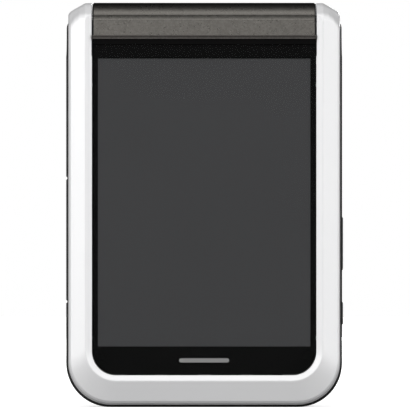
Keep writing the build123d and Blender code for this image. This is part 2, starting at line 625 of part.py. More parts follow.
def lid_bumpers():
    """Four rubber pads that keep the halves a hair apart."""
    face = SlotOverall(BUMPER_L, BUMPER_W)
    places = [(x, z) for x in (-BUMPER_X, BUMPER_X) for z in (8.0, COVER_TOP_Z - 2.2)]
    pads = [slab(Pos(x, z) * face, LID_BACK_Y, LID_BACK_Y + 0.2) for x, z in places]
    return Compound(children=pads)


def lid_board():
    """The small display driver board at the lid's lower edge."""
    return block(-LID_BOARD_HALF_W, LID_BOARD_HALF_W, LID_MIDDLE_Y, LID_MIDDLE_Y + LID_BOARD_T,
                 LID_BOARD_Z0, LID_BOARD_Z1)


def lid_magnet():
    """The magnet that tells the base when the lid is shut."""
    return rod_y(MAGNET_R, MAGNET_X, MAGNET_Z, LID_MIDDLE_Y, LID_MIDDLE_Y + MAGNET_T)


# ---------------------------------------------------------------- keys

def deck_key(x, z, face, foot):
    """A key through the deck: its cap, its flange under the deck and its plunger."""
    under = INSIDE_Y + KEY_UNDER
    key = slab(Pos(x, z) * face, DECK_Y - KEY_PROUD, under)
    key = fillet(key.faces().sort_by(Axis.Y)[0].edges(), KEY_EDGE_R)
    key += slab(Pos(x, z) * foot, under, under + FLANGE_T)
    return key + rod_y(PLUNGER_R, x, z, under + FLANGE_T, PLUNGER_END_Y)


def navigation_ring():
    """The four-way ring, with the select key's hole in its middle."""
    under = INSIDE_Y + KEY_UNDER
    ring = slab(Pos(0, NAV_Z) * Circle(NAV_R), DECK_Y - KEY_PROUD, under)
    ring = fillet(ring.faces().sort_by(Axis.Y)[0].edges(), NAV_EDGE_R)
    ring += rod_y(NAV_R + 0.5, 0, NAV_Z, under, under + FLANGE_T)
    for angle in range(0, 360, 90):
        place = Pos(0, NAV_Z) * Rot(0, 0, angle) * Pos(0, NAV_ARM)
        ring += slab(place * Circle(PLUNGER_R), under + FLANGE_T, PLUNGER_END_Y)
        ring -= slab(place * Triangle(a=ARROW_SIDE, B=60, C=60), DECK_Y - KEY_PROUD, DECK_Y + 0.15)
    return ring - rod_y(SELECT_R + 0.2, 0, NAV_Z, DECK_Y - 1, BOARD_Y)


def select_key():
    """The round key in the middle of the ring."""
    under = INSIDE_Y + KEY_UNDER + FLANGE_T
    key = rod_y(SELECT_R, 0, NAV_Z, DECK_Y - KEY_PROUD, under)
    key = fillet(key.faces().sort_by(Axis.Y)[0].edges(), NAV_EDGE_R)
    return key + rod_y(PLUNGER_R, 0, NAV_Z, under, PLUNGER_END_Y)


def key_domes():
    """The sheet of snap domes on the board, under every key."""
    sheet_y = BOARD_Y - DOME_SHEET_T
    sheet = slab(outline(27.6, 7.0, NAV_Z + 13, 2, 2), sheet_y, BOARD_Y)
    places = [(x, z) for _, x, z, _, _, _ in key_places()] + [(0, NAV_Z)]
    places += [(NAV_ARM, NAV_Z), (-NAV_ARM, NAV_Z), (0, NAV_Z + NAV_ARM), (0, NAV_Z - NAV_ARM)]
    for x, z in places:
        sheet += rod_y(DOME_R, x, z, sheet_y - DOME_T, sheet_y)
    return sheet


def side_key(z0, z1):
    """A side key: its cap through the wall and its flange inside."""
    middle = (z0 + z1) / 2
    inside = BODY_HALF_W - WALL - 0.5
    cap = Pos(SIDE_KEY_Y, middle) * RectangleRounded(SIDE_KEY_W, z1 - z0, SIDE_KEY_W / 2 - 0.1)
    key = side_slab(cap, inside, BODY_HALF_W + SIDE_PROUD)
    key = fillet(key.faces().sort_by(Axis.X)[-1].edges(), 0.25)
    return key + block(inside - 0.5, inside, SIDE_KEY_Y - 1.8, SIDE_KEY_Y + 1.8,
                       z0 - SIDE_FLANGE, z1 + SIDE_FLANGE)


def volume_key():
    """The longer side key, with the two pegs it rocks on."""
    key = side_key(VOLUME_Z0, VOLUME_Z1)
    return key + rod_y(PEG_R, PEG_X, (VOLUME_Z0 + VOLUME_Z1) / 2,
                       SIDE_KEY_Y - PEG_HALF_L, SIDE_KEY_Y + PEG_HALF_L)


def capture_key():
    """The shorter side key."""
    return side_key(CAPTURE_Z0, CAPTURE_Z1)


def side_door():
    """The flap over the card slot and the plug socket: its rear edge is round, with two pins."""
    z0, z1 = DOOR_Z0 + DOOR_GAP, DOOR_Z1 - DOOR_GAP
    door = side_slab(door_face(DOOR_GAP, DOOR_PIVOT_Y), -BODY_HALF_W, -BODY_HALF_W + DOOR_T)
    door += rod_z(DOOR_T / 2, DOOR_PIVOT_X, DOOR_PIVOT_Y, z0, z1)
    door += rod_z(DOOR_PIN_R, DOOR_PIVOT_X, DOOR_PIVOT_Y, z0 - DOOR_PIN_L, z1 + DOOR_PIN_L)
    for z in (DOOR_Z0, DOOR_Z1):
        door -= rod_y(NOTCH_R, -BODY_HALF_W - NOTCH_R + NOTCH_DEPTH, z, DECK_Y, SEAM_Y)
    return door


# ---------------------------------------------------------------- inside the base

def main_board():
    """The main circuit board."""
    return slab(outline(BOARD_HALF_W, BOARD_Z0, BOARD_Z1, 7.5, 2), BOARD_Y, BOARD_Y + BOARD_T)


def board_shield():
    """The screening can over the processor."""
    y0 = BOARD_Y + BOARD_T
    can = block(-SHIELD_HALF_W, SHIELD_HALF_W, y0, y0 + SHIELD_T, SHIELD_Z0, SHIELD_Z1)
    return fillet(can.edges().filter_by(Axis.Y), 0.8)


def card_socket():
    """The memory card socket behind the side door."""
    y0 = BOARD_Y + BOARD_T
    shell = block(SOCKET_X, SOCKET_X + CARD_L, y0, y0 + CARD_T, CARD_Z0, CARD_Z1)
    return shell - block(SOCKET_X, SOCKET_X + CARD_L - 1, y0 + 0.3, y0 + 1.6,
                         CARD_Z0 + 0.6, CARD_Z1 - 0.6)


def plug_socket():
    """The charging and data socket behind the side door."""
    x1 = -BOARD_HALF_W - 0.1
    middle = (PLUG_Y0 + PLUG_Y1) / 2
    shell = block(SOCKET_X, x1, PLUG_Y0, PLUG_Y1, PLUG_Z0, PLUG_Z1)
    room = block(SOCKET_X, x1 - 1, PLUG_Y0 + 0.4, PLUG_Y1 - 0.4, PLUG_Z0 + 0.4, PLUG_Z1 - 0.4)
    tongue = block(SOCKET_X + 1, x1 - 0.5, middle - 0.3, middle + 0.3, PLUG_Z0 + 1.5, PLUG_Z1 - 1.5)
    return shell - room + tongue


def side_switches():
    """The switches that the side keys press."""
    x0, x1 = BOARD_HALF_W + 0.8, BODY_HALF_W - WALL - 1.5
    y0, y1 = SIDE_KEY_Y - SWITCH_HALF + 0.2, SIDE_KEY_Y + SWITCH_HALF - 0.2
    places = (VOLUME_Z0 + 3, VOLUME_Z1 - 3, (CAPTURE_Z0 + CAPTURE_Z1) / 2)
    return Compound(children=[block(x0, x1, y0, y1, z - SWITCH_HALF, z + SWITCH_HALF) for z in places])


def battery_pack():
    """The flat battery in its bay."""
    pack = block(-BATTERY_HALF_W, BATTERY_HALF_W, BAY_FLOOR_Y + BAY_FLOOR_T + 0.05, BACK_Y - BACK_T,
                 BATTERY_Z0, BATTERY_Z1 - BATTERY_SHORT)
    return fillet(pack.edges().filter_by(Axis.Z), 1.2)


def battery_contacts():
    """Three spring blades at the top of the bay."""
    y0 = BAY_FLOOR_Y + 1.6
    blades = [block(x - CONTACT_W / 2, x + CONTACT_W / 2, y0, y0 + CONTACT_T,
                    BATTERY_Z1 - BATTERY_SHORT, BATTERY_Z1 + BAY_GAP - 0.05)
              for x in (-CONTACT_X, 0, CONTACT_X)]
    return Compound(children=blades)


def loudspeaker():
    """The round speaker behind the slots in the back."""
    can = rod_y(SPEAKER_R, SPEAKER_X, SPEAKER_Z, BACK_Y - BACK_T - SPEAKER_T, BACK_Y - BACK_T)
    return can - rod_y(SPEAKER_R - 1, SPEAKER_X, SPEAKER_Z, BACK_Y - BACK_T - 0.5, BACK_Y - BACK_T)


def microphone():
    """The microphone capsule under the deck."""
    return rod_y(MICROPHONE_R, MICROPHONE_X, MICROPHONE_Z, INSIDE_Y + 0.05, INSIDE_Y + 1.6)


def hinge_flex():
    """The printed ribbon from the board up into the barrel."""
    y0 = BOARD_Y + BOARD_T
    return block(-FLEX_HALF_W, FLEX_HALF_W, y0, y0 + FLEX_T, FLEX_Z0, AXIS_Z - EAR_POCKET_R - 1.3)


def base_screws():
    """Four screws from the back into the deck's posts."""
    screws = []
    for x in (-POST_X, POST_X):
        for z in POST_ZS:
            seat = BACK_Y - HEAD_DEPTH
            screw = rod_y(SCREW_HEAD_R, x, z, seat, seat + SCREW_HEAD_T)
            screw += rod_y(SCREW_R, x, z, SEAM_Y - SCREW_GRIP, seat)
            screw -= cross_slot(x, z, CROSS_W, CROSS_T, seat + 0.6, seat + SCREW_HEAD_T)
            screws.append(screw)
    return Compound(children=screws)


SUB_PARTS = (
    base_front_shell, base_rear_shell, battery_cover,
    hinge_barrel_cover, hinge_washers, hinge_core, hinge_cartridge, hinge_drive_pin, hinge_pin, hinge_bush,
    lid_frame, lid_top_trim, display_window, window_mask, outer_display, display_backlight,
    lid_chassis, inner_display, lid_inner_cover, inner_window, lid_screws, lid_bumpers,
    lid_board, lid_magnet,
    navigation_ring, select_key, key_domes, volume_key, capture_key, side_door,
    main_board, board_shield, card_socket, plug_socket, side_switches,
    battery_pack, battery_contacts, loudspeaker, microphone, hinge_flex, base_screws,
)

for make in SUB_PARTS:
    part(make.__name__, make())

for name, x, z, w, h, r in key_places():
    cap = RectangleRounded(w, h, r)
    foot = RectangleRounded(w + 2 * FLANGE_OUT, h + 2 * FLANGE_OUT, r + FLANGE_OUT)
    part(name, deck_key(x, z, cap, foot))
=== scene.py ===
import json
import math

import bmesh
import bpy
from mathutils import Matrix, Vector


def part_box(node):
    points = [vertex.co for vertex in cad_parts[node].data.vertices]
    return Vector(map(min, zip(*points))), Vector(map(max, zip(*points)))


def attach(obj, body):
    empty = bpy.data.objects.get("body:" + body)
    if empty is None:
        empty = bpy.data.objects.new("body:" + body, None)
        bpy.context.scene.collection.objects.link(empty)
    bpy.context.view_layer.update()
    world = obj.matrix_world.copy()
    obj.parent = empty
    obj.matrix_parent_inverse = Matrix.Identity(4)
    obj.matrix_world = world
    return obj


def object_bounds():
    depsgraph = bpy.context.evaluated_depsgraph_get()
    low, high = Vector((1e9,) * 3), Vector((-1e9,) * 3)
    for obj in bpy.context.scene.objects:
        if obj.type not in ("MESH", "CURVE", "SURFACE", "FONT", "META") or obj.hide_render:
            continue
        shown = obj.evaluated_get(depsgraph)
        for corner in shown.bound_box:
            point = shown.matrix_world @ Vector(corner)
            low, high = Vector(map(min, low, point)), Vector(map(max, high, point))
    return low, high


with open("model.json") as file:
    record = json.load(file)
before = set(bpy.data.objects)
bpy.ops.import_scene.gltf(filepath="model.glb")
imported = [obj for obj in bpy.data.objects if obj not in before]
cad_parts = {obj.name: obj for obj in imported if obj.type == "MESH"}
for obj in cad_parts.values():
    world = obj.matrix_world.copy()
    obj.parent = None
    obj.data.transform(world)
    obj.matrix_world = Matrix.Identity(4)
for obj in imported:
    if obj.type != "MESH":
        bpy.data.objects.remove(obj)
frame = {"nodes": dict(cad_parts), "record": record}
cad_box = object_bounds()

MM = 0.001

# The camera: how far off, how far to the right and how high it stands, how wide a stretch of the
# barrel's front it takes in, and its sensor's width in millimetres
CAMERA_DISTANCE, CAMERA_RIGHT, CAMERA_HEIGHT = 2.0, 0.22 * MM, 52.7 * MM
VIEW_WIDTH = 106.67 * MM
SENSOR_WIDTH = 36.0

# Studio light from the front: its strength below the object and above it, and the shares of it
# that are left behind the object and in the opening round the lens
AMBIENT_LOW, AMBIENT_HIGH, AMBIENT_BACK, AMBIENT_LENS = 0.04, 1.28, 0.08, 0.52

# The stretches of direction over which that light turns from one level to the next: along Y from
# behind to the front and to the lens, and along Z from low to high
FRONT_BAND, LENS_BAND, RAISED_BAND = (0.05, -0.22), (-0.90, -0.985), (-0.30, 0.12)

# Soft boxes: place, width and power
SOFT_BOXES = {
    "key_light": ((-0.60, -0.95, 0.28), 0.60, 5.0),
    "fill_light": ((0.66, -0.92, 0.16), 0.60, 1.8),
    "rim_light": ((0.95, -0.20, 0.15), 0.40, 1.0),
    "back_light": ((0.24, 1.00, 0.05), 0.40, 6.0),
}

FLOOR_RADIUS, FLOOR_GAP = 1.6, 0.02 * MM

# Printing: how far the ink stands out of its face, and half the depth of a digit's own solid
INK_DEPTH, DIGIT_HALF_DEPTH = 0.010 * MM, 0.006 * MM
DIGIT_SIZE = 3.6 * MM
MARK_HEIGHT = 0.69 * MM
WINDOW_BAR_WIDTH, WINDOW_BAR_HEIGHT, WINDOW_BAR_Z = 13 * MM, 1.1 * MM, 3.8 * MM
ROUND_END_STEPS = 10

# Digits on the number keys, in order, and the bars on each function key: offset and width in mm
KEY_LEGENDS = "123456789*0#"
FUNCTION_MARKS = {
    "function_key_upper_left": ((0.0, 3.2),),
    "function_key_upper_right": ((0.0, 3.2),),
    "function_key_lower_left": ((-1.3, 0.7), (1.3, 0.7)),
    "function_key_lower_right": ((0.0, 0.7),),
}


# ---------------------------------------------------------------- places read from the frame

window_low, window_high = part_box("display_window")
barrel_low, barrel_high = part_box("hinge_barrel_cover")
core_low, core_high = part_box("hinge_core")

# The trim is metal-coloured on its lip, which is its top millimetre
LIP_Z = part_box("lid_top_trim")[1].z - 1.0 * MM

# The barrel's paint: painted shade along its crease, painted shade that turns it black over its top,
# and plain dark grey behind its middle
CREASE_Z, CREASE_REACH = barrel_high.z - 3.8 * MM, 1.1 * MM
FADE_START_Z, FADE_END_Z = barrel_high.z - 1.8 * MM, barrel_high.z - 0.1 * MM
BEHIND_START_Y = (core_low.y + core_high.y) / 2
BEHIND_END_Y = BEHIND_START_Y + 1.5 * MM


# ---------------------------------------------------------------- material helpers

class Nodes:
    """A material's node tree, with short calls for the nodes that the finishes share."""

    def __init__(self, name):
        self.material = bpy.data.materials.new(name)
        self.material.use_nodes = True
        self.tree = self.material.node_tree
        self.tree.nodes.clear()
        self.output = self.add("ShaderNodeOutputMaterial")
        self.coords = self.add("ShaderNodeTexCoord").outputs["Object"]

    def add(self, kind, **settings):
        """A new node with its settings."""
        node = self.tree.nodes.new(kind)
        for key, value in settings.items():
            setattr(node, key, value)
        return node

    def link(self, source, target):
        """Feed an input from another node's output, or with a plain value."""
        if hasattr(source, "links"):
            self.tree.links.new(source, target)
        else:
            target.default_value = source

    def stretched(self, factors):
        """Object coordinates scaled by a factor per axis."""
        node = self.add("ShaderNodeVectorMath", operation="MULTIPLY")
        self.link(self.coords, node.inputs[0])
        node.inputs[1].default_value = factors
        return node.outputs[0]

    def noise(self, size, detail=2.0, rough=0.5, coords=None):
        """Noise with features about size metres across."""
        node = self.add("ShaderNodeTexNoise")
        self.link(coords or self.coords, node.inputs["Vector"])
        node.inputs["Scale"].default_value = 1.0 / size
        node.inputs["Detail"].default_value = detail
        node.inputs["Roughness"].default_value = rough
        return node.outputs["Fac"]

    def flakes(self, size):
        """A random value for each small cell."""
        node = self.add("ShaderNodeTexVoronoi")
        self.link(self.coords, node.inputs["Vector"])
        node.inputs["Scale"].default_value = 1.0 / size
        split = self.add("ShaderNodeSeparateColor")
        self.link(node.outputs["Color"], split.inputs[0])
        return split.outputs[0]

    def math(self, operation, a, b=0.0):
        """Arithmetic on two values."""
        node = self.add("ShaderNodeMath", operation=operation)
        self.link(a, node.inputs[0])
        self.link(b, node.inputs[1])
        return node.outputs[0]

    def blend(self, a, share_a, b, share_b):
        """The sum of a share of one value and a share of another."""
        return self.math("ADD", self.math("MULTIPLY", a, share_a), self.math("MULTIPLY", b, share_b))

    def span(self, value, low, high, to_low=0.0, to_high=1.0):
        """A value brought from one range to another, and kept inside it."""
        node = self.add("ShaderNodeMapRange")
        for socket, setting in zip(node.inputs, (value, low, high, to_low, to_high)):
            self.link(setting, socket)
        return node.outputs[0]

    def mix(self, factor, a, b):
        """One colour blended into another."""
        node = self.add("ShaderNodeMix", data_type="RGBA")
        self.link(factor, node.inputs[0])
        self.link(a, node.inputs[6])
        self.link(b, node.inputs[7])
        return node.outputs[2]

    def axis(self, letter):
        """One of the object coordinates."""
        split = self.add("ShaderNodeSeparateXYZ")
        self.link(self.coords, split.inputs[0])
        return split.outputs[letter]

    def crevice(self, distance):
        """1 in the open, towards 0 in gaps and corners."""
        node = self.add("ShaderNodeAmbientOcclusion", samples=8)
        node.inputs["Distance"].default_value = distance
        return node.outputs["AO"]

    def soft_edges(self, radius):
        """A normal that rounds hard edges over a radius."""
        node = self.add("ShaderNodeBevel", samples=6)
        node.inputs["Radius"].default_value = radius
        return node.outputs[0]

    def edge_wear(self, radius):
        """1 along hard edges, 0 elsewhere."""
        rounded = self.soft_edges(radius)
        plain = self.add("ShaderNodeNewGeometry").outputs["Normal"]
        dot = self.add("ShaderNodeVectorMath", operation="DOT_PRODUCT")
        self.link(rounded, dot.inputs[0])
        self.link(plain, dot.inputs[1])
        return self.span(dot.outputs["Value"], 0.995, 0.90)

    def bump(self, height, depth, normal=None):
        """A surface relief of a depth in metres."""
        node = self.add("ShaderNodeBump")
        node.inputs["Strength"].default_value = 1.0
        node.inputs["Distance"].default_value = depth
        self.link(height, node.inputs["Height"])
        if normal is not None:
            self.link(normal, node.inputs["Normal"])
        return node.outputs[0]

    def surface(self, colour, roughness, normal, **sockets):
        """The finished surface. Other inputs go by name, with _ for a space."""
        shader = self.add("ShaderNodeBsdfPrincipled")
        self.link(colour, shader.inputs["Base Color"])
        self.link(roughness, shader.inputs["Roughness"])
        self.link(normal, shader.inputs["Normal"])
        for key, value in sockets.items():
            self.link(value, shader.inputs[key.replace("_", " ")])
        self.link(shader.outputs[0], self.output.inputs["Surface"])
        return self.material


def grey(value, warm=0.0):
    """A near-neutral colour; warm above 0 leans to red."""
    return (value * (1 + warm), value, value * (1 - warm), 1.0)


def shaded(colour, share=1.0):
    """A colour at a share of its strength."""
    return tuple(share * channel for channel in colour) + (1.0,)


# ---------------------------------------------------------------- finishes

def white_casing():
    """White gloss plastic: a slight cloudiness, a fine orange peel, and painted shade in the gaps."""
    n = Nodes("white_casing")
    cloud = n.noise(14 * MM, 3)
    colour = n.mix(cloud, (0.68, 0.68, 0.69, 1), (0.71, 0.71, 0.715, 1))
    # Painted shade: the white turns grey where ambient occlusion finds gaps and corners.
    painted_gap_shade = n.span(n.crevice(0.8 * MM), 0.25, 0.75)
    colour = n.mix(painted_gap_shade, (0.34, 0.335, 0.33, 1), colour)
    smear = n.noise(5 * MM, 5, 0.7, n.stretched((1.0, 1.0, 0.35)))
    rough = n.span(smear, 0.3, 0.7, 0.30, 0.38)
    peel = n.bump(n.noise(0.9 * MM, 2), 0.004 * MM, n.soft_edges(0.22 * MM))
    grain = n.bump(n.noise(0.12 * MM, 2), 0.0012 * MM, peel)
    return n.surface(colour, rough, grain, Coat_Weight=1.0, Coat_Roughness=0.34, Coat_IOR=2.0,
                     Specular_IOR_Level=0.6)


def black_casing():
    """Black matte plastic with a spark-eroded grain, polished a little along its edges."""
    n = Nodes("black_casing")
    cloud = n.noise(9 * MM, 4)
    colour = n.mix(cloud, grey(0.0085), grey(0.0125, 0.02))
    wear = n.edge_wear(0.14 * MM)
    colour = n.mix(n.math("MULTIPLY", wear, 0.15), colour, grey(0.030, 0.02))
    rough = n.span(n.noise(2.5 * MM, 4), 0.3, 0.7, 0.46, 0.60)
    rough = n.math("SUBTRACT", rough, n.math("MULTIPLY", wear, 0.08))
    grain = n.bump(n.noise(0.16 * MM, 3, 0.6), 0.012 * MM, n.soft_edges(0.10 * MM))
    return n.surface(colour, rough, grain, Specular_IOR_Level=0.25)


def gunmetal():
    """Warm dark metallic paint with fine flakes, with painted shade in its gaps and along the
    barrel's crease, and painted shade that turns it black over the barrel's top.
    """
    n = Nodes("gunmetal")
    flake = n.flakes(0.32 * MM)
    fine = n.flakes(0.11 * MM)
    mottle = n.noise(0.9 * MM, 3, 0.6)
    sparkle = n.blend(n.blend(flake, 0.5, fine, 0.5), 0.6, mottle, 0.4)
    colour = n.mix(n.span(sparkle, 0.25, 0.75), (0.138, 0.130, 0.118, 1), (0.190, 0.181, 0.166, 1))
    # Painted shade: this dark colour goes into the gaps, where ambient occlusion finds them, and
    # along the barrel's crease.
    shade = (0.030, 0.029, 0.027, 1)
    painted_gap_shade = n.span(n.crevice(0.5 * MM), 0.3, 0.8)
    colour = n.mix(painted_gap_shade, shade, colour)
    height = n.axis("Z")
    # Painted shade along the barrel's crease, darkest at its middle.
    from_crease = n.math("ABSOLUTE", n.math("SUBTRACT", height, CREASE_Z))
    colour = n.mix(n.span(from_crease, 0.0, CREASE_REACH, 0.62, 0.0), colour, shade)
    # Painted shade: the paint turns black and loses its coat towards the barrel's top.
    painted_top_shade = n.span(height, FADE_START_Z, FADE_END_Z)
    colour = n.mix(painted_top_shade, colour, grey(0.004))
    behind = n.span(n.axis("Y"), BEHIND_START_Y, BEHIND_END_Y)
    colour = n.mix(behind, colour, grey(0.045))
    rough = n.span(flake, 0.0, 1.0, 0.27, 0.37)
    relief = n.bump(fine, 0.004 * MM, n.soft_edges(0.12 * MM))
    coat = n.span(painted_top_shade, 0.0, 1.0, 0.10, 0.0)
    return n.surface(colour, rough, relief, Metallic=0.95, Specular_Tint=grey(0.45),
                     Coat_Weight=coat, Coat_Roughness=0.25)


def black_gloss(n):
    """The shared look of printed black behind or beside the window."""
    return n.mix(n.noise(6 * MM, 3), grey(0.0018), grey(0.0029))


def lid_top_trim():
    """The strip beside the barrel: dark metallic on its lip, black where it carries on the window."""
    n = Nodes("lid_top_trim")
    flake = n.blend(n.flakes(0.3 * MM), 0.5, n.noise(0.8 * MM), 0.5)
    paint = n.mix(n.span(flake, 0.25, 0.75), (0.044, 0.040, 0.036, 1), (0.068, 0.062, 0.057, 1))
    above = n.math("GREATER_THAN", n.axis("Z"), LIP_Z)
    colour = n.mix(above, black_gloss(n), paint)
    rough = n.span(above, 0.0, 1.0, 0.12, 0.45)
    relief = n.bump(n.flakes(0.12 * MM), 0.002 * MM, n.soft_edges(0.08 * MM))
    metal = n.math("MULTIPLY", above, 0.5)
    gloss = n.span(above, 0.0, 1.0, 0.06, 0.5)
    return n.surface(colour, rough, relief, Metallic=metal, Specular_IOR_Level=gloss)


def window_glass():
    """Coated window glass: clear, with a faint reflection and faint smears in it."""
    n = Nodes("window_glass")
    smear = n.noise(16 * MM, 5, 0.7, n.stretched((1.0, 1.0, 0.4)))
    clear = n.add("ShaderNodeBsdfTransparent")
    n.link(n.mix(smear, (0.955, 0.96, 0.96, 1), (0.97, 0.975, 0.975, 1)), clear.inputs[0])
    shine = n.add("ShaderNodeBsdfGlossy")
    n.link(n.span(smear, 0.35, 0.65, 0.035, 0.075), shine.inputs["Roughness"])
    n.link(n.bump(n.noise(24 * MM, 1), 0.006 * MM), shine.inputs["Normal"])
    facing = n.add("ShaderNodeFresnel")
    facing.inputs["IOR"].default_value = 1.12
    both = n.add("ShaderNodeMixShader")
    n.link(facing.outputs[0], both.inputs[0])
    n.link(clear.outputs[0], both.inputs[1])
    n.link(shine.outputs[0], both.inputs[2])
    n.link(both.outputs[0], n.output.inputs["Surface"])
    return n.material


def black_film():
    """The black border ink behind the window."""
    n = Nodes("black_film")
    rough = n.span(n.noise(4 * MM, 3), 0.3, 0.7, 0.28, 0.36)
    relief = n.bump(n.noise(0.2 * MM, 2), 0.001 * MM)
    return n.surface(black_gloss(n), rough, relief, Specular_IOR_Level=0.05)


def display_panel():
    """A display that is switched off: neutral dark grey, with the panel's fine rows of cells."""
    n = Nodes("display_panel")
    row = n.add("ShaderNodeTexWave", bands_direction="Z")
    n.link(n.coords, row.inputs["Vector"])
    row.inputs["Scale"].default_value = 1.0 / (0.9 * MM)
    cloud = n.noise(30 * MM, 2)
    colour = n.mix(cloud, (0.0515, 0.0510, 0.0530, 1), (0.0540, 0.0535, 0.0555, 1))
    colour = n.mix(n.math("MULTIPLY", row.outputs["Fac"], 0.05), colour, grey(0.035))
    rough = n.span(n.noise(1.2 * MM, 3), 0.3, 0.7, 0.42, 0.50)
    relief = n.bump(n.noise(0.15 * MM, 2), 0.001 * MM)
    return n.surface(colour, rough, relief, Specular_IOR_Level=0.12)


def key_plastic():
    """Satin dark plastic of the keys, shinier where fingers rub."""
    n = Nodes("key_plastic")
    cloud = n.noise(3 * MM, 4)
    wear = n.edge_wear(0.15 * MM)
    colour = n.mix(cloud, grey(0.030), grey(0.040, 0.01))
    colour = n.mix(n.math("MULTIPLY", wear, 0.4), colour, grey(0.09))
    rough = n.span(n.noise(2 * MM, 4), 0.3, 0.7, 0.34, 0.46)
    relief = n.bump(n.noise(0.1 * MM, 2), 0.004 * MM, n.soft_edges(0.12 * MM))
    return n.surface(colour, rough, relief)


def metal(name, colour, rough, grain, metallic=1.0):
    """Bare or plated metal with drawn or cast marks."""
    n = Nodes(name)
    lines = n.noise(grain, 4, 0.65, n.stretched((0.15, 1.0, 1.0)))
    tone = n.mix(n.span(lines, 0.3, 0.7), shaded(colour, 0.85), shaded(colour))
    spread = n.span(lines, 0.3, 0.7, rough - 0.06, rough + 0.08)
    relief = n.bump(lines, 0.004 * MM, n.soft_edges(0.08 * MM))
    return n.surface(tone, spread, relief, Metallic=metallic)


def moulded(name, colour, rough, grain, depth):
    """Plain moulded or coated material with a fine grain."""
    n = Nodes(name)
    cloud = n.noise(6 * MM, 4)
    tone = n.mix(cloud, shaded(colour, 0.88), shaded(colour))
    spread = n.span(n.noise(2 * MM, 3), 0.3, 0.7, rough - 0.05, rough + 0.07)
    relief = n.bump(n.noise(grain, 3, 0.6), depth, n.soft_edges(0.1 * MM))
    return n.surface(tone, spread, relief)


def circuit_board():
    """Green solder mask with copper lines under it."""
    n = Nodes("circuit_board")
    lines = n.add("ShaderNodeTexBrick")
    n.link(n.coords, lines.inputs["Vector"])
    lines.inputs["Scale"].default_value = 1.0 / (4 * MM)
    tone = n.mix(n.noise(8 * MM, 3), (0.010, 0.075, 0.030, 1), (0.014, 0.105, 0.045, 1))
    tone = n.mix(n.math("MULTIPLY", lines.outputs["Fac"], 0.5), tone, (0.03, 0.16, 0.07, 1))
    relief = n.bump(lines.outputs["Fac"], 0.02 * MM)
    return n.surface(tone, 0.35, relief)


def finishes():
    """Each material slot of the record, with its finish."""
    return {
        "white_casing": white_casing(),
        "black_casing": black_casing(),
        "gunmetal": gunmetal(),
        "window_glass": window_glass(),
        "black_film": black_film(),
        "display_panel": display_panel(),
        "key_plastic": key_plastic(),
        "circuit_board": circuit_board(),
        "die_cast": metal("die_cast", (0.42, 0.42, 0.41), 0.46, 0.3 * MM, 0.9),
        "steel": metal("steel", (0.50, 0.49, 0.48), 0.30, 0.12 * MM),
        "nickel": metal("nickel", (0.62, 0.59, 0.53), 0.26, 0.2 * MM),
        "contact_metal": metal("contact_metal", (0.80, 0.58, 0.24), 0.24, 0.15 * MM),
        "natural_plastic": moulded("natural_plastic", (0.72, 0.72, 0.69), 0.45, 0.2 * MM, 0.004 * MM),
        "dome_sheet": moulded("dome_sheet", (0.55, 0.55, 0.52), 0.40, 0.3 * MM, 0.004 * MM),
        "battery_wrap": moulded("battery_wrap", (0.16, 0.18, 0.21), 0.38, 0.5 * MM, 0.006 * MM),
        "rubber": moulded("rubber", (0.020, 0.020, 0.020), 0.70, 0.12 * MM, 0.01 * MM),
    }


def dress_frame():
    """Give every CAD node its finish. The trim beside the barrel has one of its own."""
    made = finishes()
    for part in frame["record"]["subparts"]:
        node = frame["nodes"][part["node"]]
        for place in node.material_slots:
            place.material = made[part["material_slot"]]
    frame["nodes"]["lid_top_trim"].material_slots[0].material = lid_top_trim()


# ---------------------------------------------------------------- small printed pieces

def ink(name, low, high):
    """Printing ink between two greys."""
    n = Nodes(name)
    tone = n.mix(n.noise(0.5 * MM, 3), grey(low), grey(high))
    return n.surface(tone, 0.5, n.bump(n.noise(0.1 * MM), 0.002 * MM))


def middle(low, high):
    """The point halfway between two corners."""
    return (low + high) / 2


def mesh_piece(name, build, material):
    """A piece whose mesh is made by build(bm), with one material."""
    mesh = bpy.data.meshes.new(name)
    bm = bmesh.new()
    build(bm)
    bmesh.ops.recalc_face_normals(bm, faces=bm.faces)
    bm.to_mesh(mesh)
    bm.free()
    piece = bpy.data.objects.new(name, mesh)
    piece.data.materials.append(material)
    bpy.context.scene.collection.objects.link(piece)
    return piece


def bar(bm, centre, width, height):
    """A flat bar with round ends, standing a little out of a face that looks along -Y."""
    radius = height / 2
    rim = []
    for side in (1, -1):
        for step in range(ROUND_END_STEPS + 1):
            turn = side * (math.pi / 2 - math.pi * step / ROUND_END_STEPS)
            x = side * (width / 2 - radius) + side * radius * math.cos(turn)
            z = radius * math.sin(turn)
            rim.append(Vector((x, 0, z)) + centre)
    face = bm.faces.new([bm.verts.new(point) for point in rim])
    grown = bmesh.ops.extrude_face_region(bm, geom=[face])
    moved = [v for v in grown["geom"] if isinstance(v, bmesh.types.BMVert)]
    bmesh.ops.translate(bm, verts=moved, vec=Vector((0, -INK_DEPTH, 0)))


def printed(piece, body):
    """Book a printed mark on its body."""
    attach(piece, body)


def digit_mesh(text, name):
    """A digit as a thin mesh that looks along -Y."""
    curve = bpy.data.curves.new("digit", "FONT")
    curve.body = text
    curve.size = DIGIT_SIZE
    curve.extrude = DIGIT_HALF_DEPTH
    curve.align_x = "CENTER"
    curve.align_y = "CENTER"
    source = bpy.data.objects.new("digit", curve)
    bpy.context.scene.collection.objects.link(source)
    bpy.context.view_layer.update()
    solved = source.evaluated_get(bpy.context.evaluated_depsgraph_get())
    mesh = bpy.data.meshes.new_from_object(solved)
    bpy.data.objects.remove(source)
    mesh.name = name
    mesh.transform(Matrix.Rotation(math.pi / 2, 4, "X"))
    return mesh


